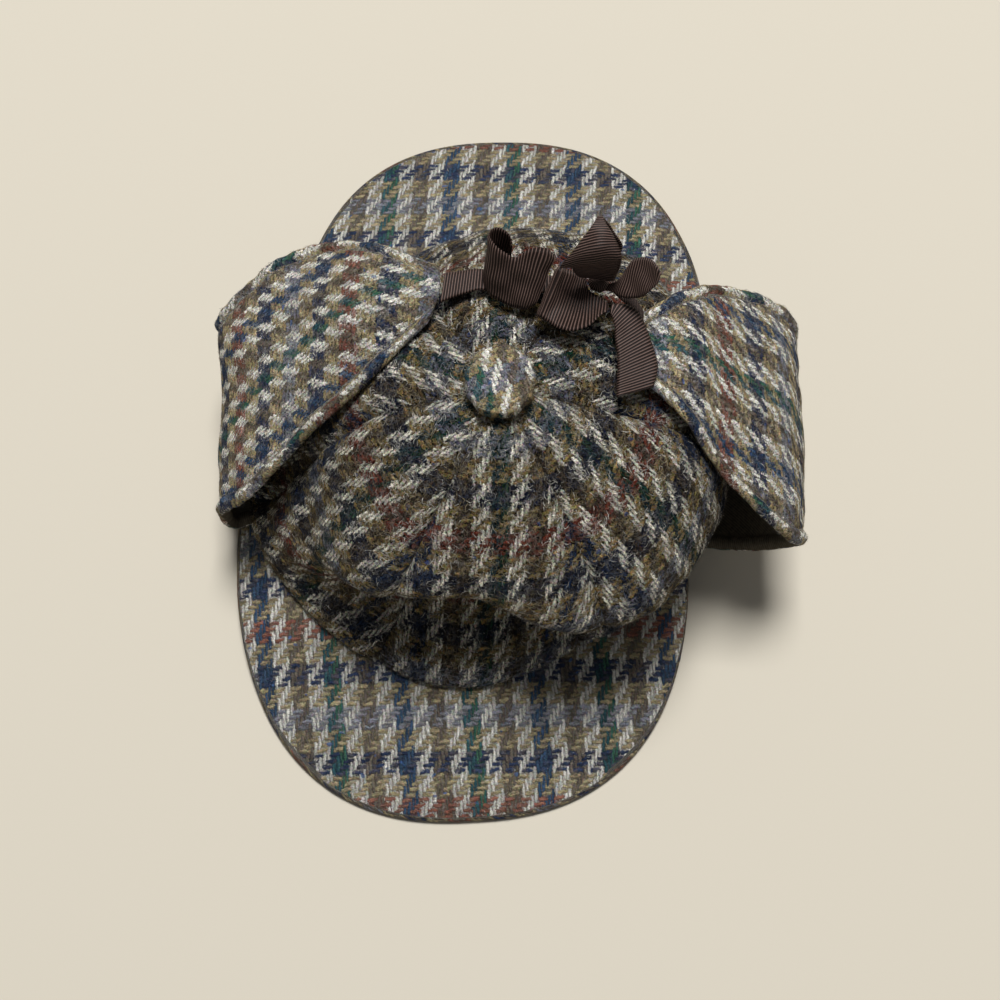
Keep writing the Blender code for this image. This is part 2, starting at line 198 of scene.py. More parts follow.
KNOT_RADII = (3.8, 3.8, 3.4)

# ---- sizes of the cloth
END = 1.68  # width of one warp yarn
PICK = 2.2  # width of one weft yarn
TWILL = 4  # yarns in one repeat of the 2/2 twill

WALL_GRIDS = {
    # width and length that the grid of a wall is spaced for, and the size of its cells
    "gore": (88, 135, 1.4),
    "peak": (300, 74, 2.0),
    "flap": (96, 180, 1.5),
}
# Distances of a grid's first lines from an edge
EDGE_LINES = (0.0, 0.18, 0.45, 0.9)
PEAK_LINES = (*EDGE_LINES, 1.5, 2.0, 2.15, 2.3, 2.8)
HEM_LINES = (*EDGE_LINES, 1.5, 2.2, 3.0, 3.8, 4.6, 5.2, 5.6, 6.0, 6.4, 7.0)

DENTS = {
    # the smooth fields that dent the cloth: depth, wavelength, seed
    "gore": [(0.9, 46, 2), (0.35, 17, 3)],
    "peak": [(0.35, 55, 4)],
    "flap": [(0.8, 40, 5), (0.35, 15, 6)],
    "ribbon": [(0.3, 10, 8)],
}
DENT_WAVES = 14  # plane waves in each field
DENT_SPREAD = (0.7, 1.4)  # shares of the stated wave number

# Ridges and grooves: height, below 0 for a groove, and the distance over which each fades
SEAM_PULL = (-1.1, 7.0)  # the cloth round a seam
SEAM_GROOVE = (-1.1, 2.2)  # the seam itself
HEM_ROLL = (1.9, 2.0)  # the thicker cloth in the middle of a rolled hem
STITCHES = (-1.6, 0.8)  # the stitched line, on both faces together
# Waves along a wall: height, turn for each millimetre, straying, its wavelength and its seed
PUCKERS = (0.25, 1 / 2.4, 2.0, 30, 1)
HEM_WAVES = (0.25, 0.8, 1.0, 20, 7)
PUCKER_REACH = 5.0  # distance from the seam over which the puckers fade
PUCKER_CURVE = 6  # how late they fade on the way to the button

# How far from an edge the cloth starts to round off
SEAM_EDGE, PEAK_EDGE, HEM_EDGE = 1.3, 2.6, 2.6
# Distances from the button's hole, a peak's edge and a flap's ends over which relief fades
GORE_CALM, PEAK_CALM, FLAP_CALM = 4.0, 12.0, 6.0
FLAP_CALMEST = 0.3  # share of a flap's relief that is left at its ends
PEAK_FOLD = 2.2  # width of the cloth that is turned over a peak's edge
PEAK_FOLD_END = 12.5  # the brown yarn that the fold starts on
PEAK_TUCKS = {
    # start_sweep, back, down: how far the front peak's left end runs on under the flap
    "front_peak": (0.06, 8.0, 3.5),
    "rear_peak": (0.06, 0.0, 0.0),
}
HEM = 6.0  # from a flap's edge to its stitched line
HEM_TURN = 38  # turn of the yarns in the hem, in degrees
HEM_START = 30.0  # distance from a flap's tip over which the roll starts
STITCH_TURN = 1.6  # turn of the stitches for each millimetre

RIB = 1.05  # pitch of the grosgrain's ribs
RIB_HEIGHT = 0.26
RIB_ROWS = 6  # rows of a ribbon's grid to each rib
RIBBON_COLUMNS = 13
PATH_STEPS = 200  # places at which a ribbon's length is measured
SELVEDGE = 0.040  # share of its width by which a ribbon swells at each rib

TURNED_ROWS = 40  # rows of the grids of the button and the knot
BUTTON_SIDES, KNOT_SIDES = 96, 120
BUTTON_STRETCH = (1.05, 1.13)  # how far the button spreads to its sides and to its front
BUTTON_PROFILE = [
    # radius, height, as shares of the button's own
    (0, 0), (0.86, 0), (1.0, 0.22), (1.0, 0.52), (0.93, 0.78), (0.6, 0.95), (0, 1),
]
BUTTON_GATHERS = 9
BUTTON_GATHER = 0.35  # depth of its gathers
BUTTON_NAP_ROW = 12  # its first row that has fibres
KNOT_RIBS = 28  # ribs round the knot
KNOT_LENGTH = 12  # length of the knot in rib pitches

NAPS = {
    # count of loose fibres, their length, and how high they rise
    "gore": (15000, 3.0, 0.22),
    "peak": (6000, 2.0, 0.08),
    "flap": (12000, 2.6, 0.15),
    "button": (1100, 3.0, 0.25),
}
FIBRE_WIDTH = 0.12
FIBRE_TAPER = (0.6, 1.0, 0.4)  # the width's share at each place along a fibre
FIBRE_LENGTHS = (0.45, 1.3)  # shares of the stated length
FIBRE_RISES = (0.1, 3.0)  # shares of the stated height
FIBRE_SINK = 0.05  # how deep its ends lie in the cloth
FIBRE_CURL = 3.2  # turn along its length, in radians
FIBRE_STRAY = 0.9  # how far from its own yarn it lies, in yarns
FIBRE_SHADES = (0.4, 1.3)  # shares of its yarn's colour
FIBRE_PALENESS = (0.20, 1.5)  # what that colour gains: the top of its range, and its power

# ---- where the check falls
# Turns are in degrees, and across and along are yarns to add.
GORE_THREADS = (6.0, -0.2)  # across, along
FLAP_THREADS = {
    # pick_width, lean, across, along
    "left_ear_flap": (1.9, 0.242, -10.1, 5.6),
    "right_ear_flap": (1.83, -0.083, 12.8, 10.0),
}
FLAT_THREADS = {
    # end_turn, pick_turn, across, along
    "front_peak": (9.5, 4.75, 13.8, 8.4),
    "rear_peak": (1.5, 1.5, 1.4, 3.5),
    "crown_button": (28.0, 28.0, 10.5, 26.0),
}

# ---- colours, linear
CREAM = (0.615, 0.595, 0.535)
NAVY = (0.020, 0.046, 0.096)
TEAL = (0.016, 0.056, 0.068)
GREEN = (0.022, 0.080, 0.050)
BROWN = (0.098, 0.079, 0.061)
TAN = (0.285, 0.224, 0.115)
RED = (0.190, 0.064, 0.042)
LILAC = (0.156, 0.165, 0.200)
INDIGO = (0.013, 0.022, 0.056)
SLUB = (0.035, 0.090, 0.260)
YARNS_IN_BAND = 4
WARP_BANDS = [CREAM, TEAL, CREAM, BROWN, CREAM, NAVY, CREAM, BROWN]
WEFT_BANDS = [INDIGO, TAN, RED, TAN, INDIGO, TAN, LILAC, TAN]
REPEAT = YARNS_IN_BAND * len(WARP_BANDS)
GREEN_SIDE = (6.3, 7.6)  # where in the repeat the teal band is green
HAIR_TINTS = [(0.36, (0.02, 0.02, 0.025)), (0.5, (0.18, 0.15, 0.10)), (0.66, (0.54, 0.52, 0.48))]
LINING_TINTS = [(0.25, (0.075, 0.064, 0.046)), (0.75, (0.140, 0.120, 0.088))]
# Painted shade in the grooves between the ribbon's ribs and painted highlight on their crests,
# from groove to crest
RIB_PAINTED_LIGHT = [(0.30, (0.011, 0.006, 0.0045)), (0.6, (0.030, 0.017, 0.013)),
             (0.95, (0.195, 0.126, 0.106))]

# ---- looks of the materials
WOOL = {"Roughness": 0.92, "Specular IOR Level": 0.04, "Sheen Weight": 0.02,
        "Sheen Roughness": 0.6, "Sheen Tint": (0.8, 0.76, 0.7, 1.0)}
FIBRE = {"Roughness": 0.85, "Specular IOR Level": 0.15}
SILK = {"Roughness": 0.50, "Specular IOR Level": 0.20, "Sheen Weight": 0.02,
        "Sheen Tint": (0.8, 0.55, 0.48, 1.0)}
FLOOR = {"Base Color": (0.70, 0.645, 0.54, 1.0), "Roughness": 0.9, "Specular IOR Level": 0.1}

WOOL_BUMP = (0.9, 0.8)  # strength, and depth in millimetres
SILK_BUMP = (0.3, 0.1)

TWEEDS = {
    # brushed, gap_shade (how light the painted shade between the yarns is), slimness, depth,
    # brightness_and_painted_light (each cloth's own lightness and painted light)
    "brushed_tweed": (0.46, 0.0, 1.46, 1.55, 1.34),
    "button_tweed": (0.56, 0.12, 1.10, 1.00, 1.66),
    "flap_tweed": (0.74, 0.16, 1.25, 0.94, 1.47),
    "pressed_tweed": (0.22, 0.62, 1.40, 0.78, 0.89),
}
BRUSHING = {
    # how strong each effect is on plain cloth, and what full brushing adds
    "flecks": (0.30, 0.15),
    "grain_dark": (0.72, -0.2),
    "grain_light": (1.28, 0.2),
    "mottle_dark": (1.0, -0.5),
    "mottle_light": (1.0, 0.25),
    "hair_tint": (0.10, 0.25),
    "hairs": (0.05, 1.60),
    "yarn_relief": (1.0, -0.4),
    "grain_relief": (0.30, 0.35),
    "hair_relief": (0.0, 0.8),
}
WANDER = [
    # what the noise runs over, its scale and detail, how many yarns it moves the weave by,
    # and what full brushing adds to them
    ("threads", 0.30, 1.0, 1.1, 0.0),
    ("threads", 1.9, 2.0, 0.40, 0.8),
    ("place", 1700.0, 1.0, 0.45, 1.0),
]
WARP_FLOAT = (-0.30, 0.35)  # lean of a float, and its lap over the neighbours
WEFT_FLOAT = (-0.20, 0.40)
WEFT_HEIGHT = 0.95  # height of a weft float where a warp float's is 1
BLEND = 0.10  # difference of height over which one yarn gives way to the other
GAP_SHADE_HEIGHTS = (0.10, 0.80)  # float heights from the painted shade between the yarns to a yarn's full colour
YARN_SHADES = (0.72, 1.2)  # from yarn to yarn
STRAND_SHADES = (0.45, 1.50)  # along the strands of a yarn
STRAND_STRETCH = (4.5, 0.7, 1.0)
SLUB_STRETCH = (0.30, 0.55, 1.0)
# A noise's range and what it gives: the brown breaks in the weft, and the bright slubs
WEFT_BREAKS = (0.46, 0.60, 0.0, 0.40)
SLUBS = (0.715, 0.735, 0.0, 0.8)
# Noise over the part, in features for each metre
FLECKS, GRAIN, MOTTLE, TINTS, SHADES = 1100.0, 2600.0, 620.0, 300.0, 900.0
HAIRS = (330.0, 480.0, 700.0)
HAIR_SHIFT = (0.37, 0.0, 0.11)
HAIR_WIDTHS = (0.010, 0.034)  # from the core to the rim of a hair, in noise
HAIR_WOBBLE = 0.9
HAIR_LIGHT = 1.5
LINING_TWILL = 9.0  # turn of the lining's twill for each yarn
LINING_RELIEF = -0.92  # what the lining adds to the relief, as a share

# ---- camera and light
IMAGE_FOCAL = 1480.0  # the photograph's focal length in pixels
IMAGE_WIDTH = 1000.0
SENSOR = 36.0
CAMERA_DISTANCE = 625.0
CAMERA_ELEVATION = math.radians(75)
CAMERA_TURN = math.radians(4)
CAMERA_AIM = (8.0, -10.0)  # the floor point at the picture's centre, right and far of the hat
# In metres, and in watts for the power
FLOOR_REACH = 12.0
LAMP_PLACE = (0.05, 1.40, 3.95)
LAMP_TARGET = (0, 0, 0.06)
LAMP_SIZE = 1.3
LAMP_POWER = 181.0
LAMP_COLOUR = (0.985, 0.985, 0.98)
SKY = {"Color": (0.97, 0.985, 1.0, 1.0), "Strength": 0.135}

BAKE_MAP = "OFBake"  # the layer of each corner's place in the pictures of the colours
BAKE_MARGIN = 0.008  # clear border of a face in its picture


# ---- curves
def hermite(start, end, start_slope, end_slope, step):
    """Return the point at step, 0 to 1, on the cubic curve between two points."""
    square = step * step
    cube = square * step
    return ((2 * cube - 3 * square + 1) * start + (cube - 2 * square + step) * start_slope
            + (3 * square - 2 * cube) * end + (cube - square) * end_slope)


def around(rows, azimuth):
    """Read every column of a table whose rows are evenly spaced round a circle."""
    values = np.array(rows, dtype=float)[:, 1:]
    count = len(values)
    position = (azimuth % 360.0) / (360.0 / count)
    first = np.floor(position).astype(int)
    step = (position - first)[..., None]
    before, here, after, beyond = (values[(first + shift) % count] for shift in (-1, 0, 1, 2))
    return hermite(here, after, (after - before) / 2, (beyond - here) / 2, step)


def smooth_path(points, share):
    """Return the points at the shares, 0 to 1, of smooth curves, one curve for each share."""
    lengths = np.linalg.norm(np.diff(points, axis=-2), axis=-1)
    knots = np.concatenate([np.zeros_like(lengths[..., :1]), np.cumsum(lengths, axis=-1)], axis=-1)
    place = share * knots[..., -1]
    last = points.shape[-2] - 1
    first = np.clip((knots <= place[..., None]).sum(axis=-1) - 1, 0, last - 1)

    def knot(index):
        return np.take_along_axis(knots, index[..., None], axis=-1)

    def point(index):
        return np.take_along_axis(points, index[..., None, None], axis=-2)[..., 0, :]

    def slope(index):
        low, high = np.maximum(index - 1, 0), np.minimum(index + 1, last)
        return (point(high) - point(low)) / (knot(high) - knot(low))

    span = knot(first + 1) - knot(first)
    return hermite(point(first), point(first + 1), slope(first) * span,
                   slope(first + 1) * span, (place[..., None] - knot(first)) / span)


def table_path(rows, share):
    """Return the smoothed row of a table at each share, 0 to 1, of its length."""
    points = np.array([row[1:] for row in rows], dtype=float)
    return smooth_path(np.broadcast_to(points, share.shape + points.shape), share)


def swell(points, wavelength, seed):
    """Return a smooth field, about -1 to 1, that varies over the wavelength."""
    random = np.random.default_rng(SEED + seed)
    waves = unit(random.normal(size=(DENT_WAVES, 3)))
    waves *= 2 * math.pi / wavelength * random.uniform(*DENT_SPREAD, (DENT_WAVES, 1))
    phases = random.uniform(0, 2 * math.pi, DENT_WAVES)
    return np.sin(points @ waves.T + phases).sum(axis=-1) / math.sqrt(DENT_WAVES)


def unit(vectors):
    """Return the vectors at length 1."""
    return vectors / np.maximum(np.linalg.norm(vectors, axis=-1, keepdims=True), 1e-9)


# ---- faces
def crown_point(azimuth, share):
    """Return points of the crown's outer face, share 0 at the rim and 1 under the button."""
    azimuth, share = np.broadcast_arrays(azimuth, share)
    rim_r, waist_r, waist_z, lip_r, lip_z, shoulder_r, shoulder_z = np.moveaxis(
        around(CROWN_SECTIONS, azimuth), -1, 0)
    level = np.ones_like(rim_r)
    radii = [rim_r, rim_r, waist_r, lip_r, shoulder_r, CREST[0] * level, TOP[0] * level]
    heights = [RIM_HEIGHT * level, (RIM_HEIGHT + HEM_HEIGHT) * level, waist_z, lip_z,
               shoulder_z, CREST[1] * level, TOP[1] * level]
    meridian = np.stack([np.stack(radii, axis=-1), np.stack(heights, axis=-1)], axis=-1)
    radius, height = np.moveaxis(smooth_path(meridian, share), -1, 0)
    rise = (height - RIM_HEIGHT) / (TOP[1] - RIM_HEIGHT)
    angle = np.radians(azimuth)
    return np.stack([LEAN[0] * rise + radius * np.cos(angle),
                     LEAN[1] * rise + radius * np.sin(angle), height], axis=-1)


def gore_face(first_seam, last_seam):
    """Return the outer face of one gore."""
    def face(across, along):
        return crown_point((first_seam + last_seam) / 2
                           + across * (last_seam - first_seam) / 2, along)
    return face


def peak_face(centre_x, centre_y, half_width, reach, squareness, turn,
              first_angle, last_angle, first_rim, last_rim):
    """Return the middle face of a peak, from its tuck under the rim to its outer edge."""
    def squared(ratio):
        return np.copysign(np.abs(ratio) ** (2 / squareness), ratio)

    def face(across, along):
        across, along = np.broadcast_arrays(across, along)
        sweep = (1 - across) / 2
        rim = first_rim + (last_rim - first_rim) * sweep
        radius = around(CROWN_SECTIONS, rim)[..., 0] - RIM_TUCK
        inner = np.stack([radius * np.cos(np.radians(rim)),
                          radius * np.sin(np.radians(rim))], axis=-1)
        angle = np.radians(first_angle + (last_angle - first_angle) * sweep)
        outer_x = half_width * squared(np.cos(angle))
        outer_y = reach * squared(np.sin(angle))
        tilt = math.radians(turn)
        outer = np.stack([centre_x + outer_x * math.cos(tilt) - outer_y * math.sin(tilt),
                          centre_y + outer_x * math.sin(tilt) + outer_y * math.cos(tilt)], axis=-1)
        ends = np.maximum(0, 1 - np.minimum(sweep, 1 - sweep) / PEAK_END_SHARE)
        outer_z = DOUBLE_CLOTH / 2 + PEAK_END_LIFT * ends ** PEAK_END_CURVE
        inner_z = RIM_HEIGHT - BUTTON_GAP - DOUBLE_CLOTH / 2
        plan = inner + (outer - inner) * along[..., None]
        height = inner_z + (outer_z - inner_z) * along ** PEAK_DROP_CURVE
        return np.concatenate([plan, height[..., None]], axis=-1)
    return face


def flap_face(rows, side):
    """Return the middle face of an ear flap; side is -1 for the left flap and 1 for the right."""
    def face(across, along):
        across, along = np.broadcast_arrays(across * side, along)
        section = table_path(rows, along)
        front, middle, rear = section[..., :3], section[..., 3:6], section[..., 6:]
        across = across[..., None]
        bow = (front + rear) / 2 - middle
        return middle + (rear - front) / 2 * across + bow * across * across
    return face


def ribbon_face(rows):
    """Return the middle face of a length of ribbon from its table of sections."""
    def face(across, along):
        across, along = np.broadcast_arrays(across, along)
        section = table_path(rows, along)
        near, far, sag = section[..., :3], section[..., 3:6], section[..., 6]
        points = near + (far - near) * (across[..., None] + 1) / 2
        points[..., 2] -= sag * (1 - across ** 2)
        return points
    return face


# ---- walls of cloth
def refined(count, width, lines):
    """Return places from -1 to 1: lines at set distances from both edges, even ones between."""
    close = np.array(lines) * 2 / width
    inner = np.linspace(-1 + close[-1] + 2 / count, 1 - close[-1] - 2 / count, count)
    return np.concatenate([-1 + close, inner, (1 - close)[::-1]])


class Wall:
    """A wall of cloth: a grid of its face with normals, arc lengths and border distances."""

    def __init__(self, face, grid, lines=EDGE_LINES):
        width, length, cell = WALL_GRIDS[grid]
        self.across = refined(int(width / cell), width, lines)
        self.along = (refined(int(length / cell), length, lines) + 1) / 2
        self.points = face(self.across[None, :], self.along[:, None])
        sideways = np.gradient(self.points, self.across, axis=1)
        forward = np.gradient(self.points, self.along, axis=0)
        self.normals = unit(np.cross(sideways, forward))
        self.sideways = self._walked(axis=1)
        self.forward = self._walked(axis=0)
        self.middle = len(self.across) // 2
        self.offset = self.sideways - self.sideways[:, self.middle, None]
        self.from_side = np.minimum(self.sideways, self.sideways[:, -1:] - self.sideways)
        self.from_head = self.forward[-1:, :] - self.forward
        self.from_end = np.minimum(self.forward, self.from_head)

    def _walked(self, axis):
        """Return each point's distance along its grid line from the line's start."""
        steps = np.linalg.norm(np.diff(self.points, axis=axis), axis=-1)
        start = np.zeros_like(self.points[..., 0].take([0], axis=axis))
        return np.concatenate([start, np.cumsum(steps, axis=axis)], axis=axis)

    def build(self, name, thickness, outside, relief, threads, edge, lined=False):
        """Make the closed wall: outside is the share of its thickness outside its face."""
        border = np.minimum(self.from_side, self.from_end)
        rounding = np.sqrt(np.clip(1 - (1 - np.clip(border / edge, 0, 1)) ** 2, 0, 1))
        thickness = thickness + 0 * border
        centre = self.points + self.normals * (thickness * (outside - 0.5))[..., None]
        half = self.normals * (thickness / 2 * rounding)[..., None]
        self.outer = centre + half + self.normals * relief[..., None]
        inner = centre - half + self.normals * relief[..., None]
        return closed_wall(name, self.outer, inner, threads, lined)


def cells(grid):
    """Return the four corners of each cell of a grid."""
    return np.stack([grid[:-1, :-1], grid[:-1, 1:], grid[1:, 1:], grid[1:, :-1]],
                    axis=2).reshape(-1, 4, *grid.shape[2:])


def shares(rows, columns):
    """Return the place of each point of a grid in a unit square."""
    return np.stack(np.meshgrid(np.linspace(0, 1, columns), np.linspace(0, 1, rows)), axis=-1)


def closed_wall(name, outer, inner, threads, lined=False):
    """Join two grids that share their border into one closed mesh."""
    rows, columns = outer.shape[:2]
    count = rows * columns
    index = np.arange(count).reshape(rows, columns)
    back = index + count
    border = np.zeros((rows, columns), dtype=bool)
    border[[0, -1], :] = border[:, [0, -1]] = True
    back[border] = index[border]
    faces = np.concatenate([cells(index), cells(back)[:, ::-1]])
    used, faces = np.unique(faces, return_inverse=True)
    corners = np.concatenate([outer.reshape(-1, 3), inner.reshape(-1, 3)])
    lining = (np.arange(2 * count) >= count) * float(lined)
    values = np.column_stack([np.concatenate([threads.reshape(-1, 2)] * 2), lining])

    # Each face of the wall has its own half of a picture.
    half = np.array([0.5, 1.0] if rows >= columns else [1.0, 0.5])
    place = BAKE_MARGIN + shares(rows, columns) * (half - 2 * BAKE_MARGIN)
    places = np.concatenate([cells(place), cells(place + 1 - half)[:, ::-1]])
    return add_piece(name, corners[used], faces.reshape(-1, 4).tolist(), places, values[used])


def turned_piece(name, form, threads):
    """Add a turned grid as one mesh, with its seam and its poles closed."""
    index = np.arange(form[..., 0].size).reshape(form.shape[:2])
    index[:, -1] = index[:, 0]
    index[0], index[-1] = index[0, 0], index[-1, 0]
    used, order = np.unique(index, return_inverse=True)
    faces, places = [], []
    for face, corners in zip(cells(order.reshape(index.shape)).tolist(),
                             cells(shares(*index.shape)).tolist()):
        placed = {}
        for corner, place in zip(face, corners):
            placed.setdefault(corner, place)
        faces.append(list(placed))
        places += placed.values()
    values = np.column_stack([threads.reshape(-1, 2), np.zeros(index.size)])
    return add_piece(name, form.reshape(-1, 3)[used], faces, places, values[used])


def add_piece(name, corners, faces, places, threads=None):
    """Add one smooth mesh, in the hat's frame.

    places are its corners' places in a picture, and threads its cloth coordinates:
    yarns across, yarns along and 1 where it is lining.
    """
    mesh = bpy.data.meshes.new(name)
    mesh.from_pydata((corners * MM + ORIGIN).tolist(), [], faces)
    mesh.shade_smooth()
    mesh.uv_layers.new(name=BAKE_MAP).data.foreach_set("uv", np.ravel(places))
    if threads is not None:
        layer = mesh.attributes.new("threads", "FLOAT_VECTOR", "POINT")
        layer.data.foreach_set("vector", np.ravel(threads))
    return add_object(name, mesh)


def add_object(name, data):
    """Link a new object to the scene."""
    added = bpy.data.objects.new(name, data)
    bpy.context.scene.collection.objects.link(added)
    return added


# ---- loose fibres
def yarn_colours(threads):
    """Return the colour of the yarn that lies on top at each pair of yarn coordinates."""
    end, pick = np.floor(threads).astype(int).T
    warp = np.array(WARP_BANDS)[(end % REPEAT) // YARNS_IN_BAND]
    weft = np.array(WEFT_BANDS)[(pick % REPEAT) // YARNS_IN_BAND]
    return np.where((((pick - end) % TWILL) < TWILL / 2)[:, None], warp, weft)


def fibre_tints(threads, random):
    """Return a colour for each fibre, in tints of the yarns near its yarn coordinates."""
    count = len(threads)
    top, power = FIBRE_PALENESS
    colours = yarn_colours(threads + random.normal(0, FIBRE_STRAY, (count, 2)))
    colours = (colours * random.uniform(*FIBRE_SHADES, (count, 1))
               + random.uniform(0.0, top, (count, 1)) ** power)
    return np.column_stack([np.clip(colours, 0, 1), np.ones(count)])


def fibre_strips(root, normal, first, length, lift, random):
    """Return strips that turn as they go, rise from the cloth and come back to it."""
    count, places = len(root), len(FIBRE_TAPER)
    second = np.cross(normal, first)
    share = np.linspace(0, 1, places)
    spans = length * random.uniform(*FIBRE_LENGTHS, count)
    turn = (random.uniform(0, 2 * math.pi, (count, 1))
            + random.normal(0, FIBRE_CURL, (count, 1)) * share)[..., None]
    heading = first[:, None] * np.cos(turn) + second[:, None] * np.sin(turn)
    steps = heading * (spans / (places - 1))[:, None, None]
    path = root[:, None] + np.cumsum(steps, axis=1) - steps.sum(axis=1, keepdims=True) / 2
    rises = lift * random.exponential(1.0, count).clip(*FIBRE_RISES)
    level = np.sin(math.pi * (0.08 + 0.84 * share)) * rises[:, None] - FIBRE_SINK
    path = path + normal[:, None] * level[..., None]
    side = np.cross(normal[:, None], heading) * (FIBRE_WIDTH / 2 * np.array(FIBRE_TAPER))[:, None]
    return np.stack([path - side, path + side], axis=2).reshape(-1, 3)


def add_nap(name, grid, threads, kind):
    """Scatter short curled fibres over a grid of cloth."""
    count, length, lift = NAPS[kind]
    random = np.random.default_rng(SEED + len(name) + count)
    across, along = grid[:-1, 1:] - grid[:-1, :-1], grid[1:, :-1] - grid[:-1, :-1]
    crossed = np.cross(across, along)
    areas = np.linalg.norm(crossed, axis=-1).ravel()
    row, column = np.divmod(random.choice(areas.size, count, p=areas / areas.sum()),
                            grid.shape[1] - 1)
    step = random.random((count, 2))
    root = (grid[row, column] + across[row, column] * step[:, :1]
            + along[row, column] * step[:, 1:])
    tints = fibre_tints(threads[row, column], random)
    corners = fibre_strips(root, unit(crossed)[row, column], unit(across)[row, column],
                           length, lift, random)

    # Each fibre is a row of faces, and has a cell of the picture of its own.
    places = len(FIBRE_TAPER)
    pair = (np.arange(count)[:, None] * places + np.arange(places - 1)) * 2
    faces = np.stack([pair, pair + 1, pair + 3, pair + 2], axis=-1).reshape(-1, 4)
    side = math.ceil(math.sqrt(count))
    cell = np.stack([np.arange(count) % side, np.arange(count) // side], axis=-1)
    inside = np.stack(np.meshgrid([0.2, 0.8], np.linspace(0.1, 0.9, places)), axis=-1)
    bake = ((cell[:, None, None] + inside) / side).reshape(-1, 2)
    nap = add_piece(name, corners, faces.tolist(), bake[faces])
    layer = nap.data.attributes.new("tint", "FLOAT_COLOR", "POINT")
    layer.data.foreach_set("color", np.repeat(tints, places * 2, axis=0).ravel())
    nap.data.materials.append(bpy.data.materials["loose_wool"])
    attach(nap, "root")
    return nap


# ---- shader graphs
def math_node(operation):
    """Return a method that adds a Math node over its own value and any others."""
    return lambda value, *others: value.graph.math(operation, value, *others)


class Value:
    """An output of a shader node; arithmetic with it adds Math nodes."""

    __add__, __sub__ = math_node("ADD"), math_node("SUBTRACT")
    __mul__, __truediv__ = math_node("MULTIPLY"), math_node("DIVIDE")
    __mod__, __pow__, __abs__ = map(math_node, ("FLOORED_MODULO", "POWER", "ABSOLUTE"))
    floor, root, sine = math_node("FLOOR"), math_node("SQRT"), math_node("SINE")
    above, below, at_least = map(math_node, ("GREATER_THAN", "LESS_THAN", "MAXIMUM"))

    def __init__(self, graph, socket):
        self.graph, self.socket = graph, socket

    def __rsub__(self, other):
        return self.graph.math("SUBTRACT", other, self)


class Graph:
    """Adds shader nodes to a new material, one call for each node."""

    def __init__(self, name, finish):
        self.material = bpy.data.materials.new(name)
        self.material.use_nodes = True
        self.tree = self.material.node_tree
        self.shader = self.tree.nodes["Principled BSDF"]
        for key, value in finish.items():
            self.shader.inputs[key].default_value = value

    def node(self, kind, inputs, output=0, **settings):
        """Add a node, set it up, link or set its inputs, and return one of its outputs."""
        node = self.tree.nodes.new(kind)
        for key, value in settings.items():
            setattr(node, key, value)
        for key, value in inputs.items():
            if isinstance(value, Value):
                self.tree.links.new(value.socket, node.inputs[key])
            else:
                node.inputs[key].default_value = value
        return Value(self, node.outputs[output])

    def layer(self, name, output):
        """Read a layer of the mesh."""
        return self.node("ShaderNodeAttribute", {}, output, attribute_name=name)

    def place(self):
        """Return the place in the part, in metres."""
        return self.node("ShaderNodeTexCoord", {}, "Object")

    def math(self, operation, *values):
        """Add one Math node over one to three numbers."""
        return self.node("ShaderNodeMath", dict(enumerate(values)), operation=operation)

    def vector(self, operation, first, second):
        """Add one Vector Math node over two vectors."""
        return self.node("ShaderNodeVectorMath", {0: first, 1: second}, operation=operation)

    def scaled(self, colour, factor):
        """Multiply a colour by a number."""
        return self.node("ShaderNodeVectorMath", {0: colour, 3: factor}, operation="SCALE")

    def combine(self, x, y):
        """Join two numbers into a vector."""
        return self.node("ShaderNodeCombineXYZ", {0: x, 1: y})

    def split(self, vector):
        """Split a vector into its three numbers."""
        first = self.node("ShaderNodeSeparateXYZ", {0: vector})
        return [Value(self, socket) for socket in first.socket.node.outputs]

    def noise(self, vector, scale, detail=1.0, output="Fac", distortion=0.0):
        """Add a noise texture and return its number or its Color."""
        return self.node("ShaderNodeTexNoise", {
            "Vector": vector, "Scale": scale, "Detail": detail, "Distortion": distortion}, output)

    def range(self, value, low, high, to_low=0.0, to_high=1.0):
        """Map a number from one range to another, clamped."""
        return self.node("ShaderNodeMapRange", {
            0: value, 1: low, 2: high, 3: to_low, 4: to_high})

    def mix(self, share, first, second, blend="MIX"):
        """Mix two colours, given as outputs or as red, green and blue."""
        first, second = ((*colour, 1.0) if isinstance(colour, tuple) else colour
                         for colour in (first, second))
        return self.node("ShaderNodeMix", {0: share, 6: first, 7: second}, 2,
                         data_type="RGBA", blend_type=blend)

    def ramp(self, share, stops, interpolation="LINEAR"):
        """Add a colour ramp with (position, colour) stops."""
        colours = self.node("ShaderNodeValToRGB", {0: share})
        ramp = colours.socket.node.color_ramp
        ramp.interpolation = interpolation
        while len(ramp.elements) < len(stops):
            ramp.elements.new(1.0)
        for element, (position, colour) in zip(ramp.elements, stops):
            element.position = position
            element.color = (*colour, 1.0)
        return colours

    def surface(self, colour, relief=0.0, strength=0.0, depth=0.0):
        """Give the shader its colour and the bump of a relief, with its depth in millimetres."""
        self.tree.links.new(colour.socket, self.shader.inputs["Base Color"])
        if depth:
            bump = self.node("ShaderNodeBump", {"Height": relief, "Strength": strength,
                                                "Distance": depth * MM})
            self.tree.links.new(bump.socket, self.shader.inputs["Normal"])


def strayed(graph, sources, brushed):
    """Return the yarn coordinates: yarns wander a little and are ragged with fibres."""
    yarns = graph.split(sources["threads"])[:2]
    for over, scale, detail, amount, by_brushing in WANDER:
        amount += by_brushing * brushed
        shifts = graph.split(graph.noise(sources[over], scale, detail, "Color"))
        yarns = [yarn + (shift - 0.5) * amount for yarn, shift in zip(yarns, shifts)]
    return yarns


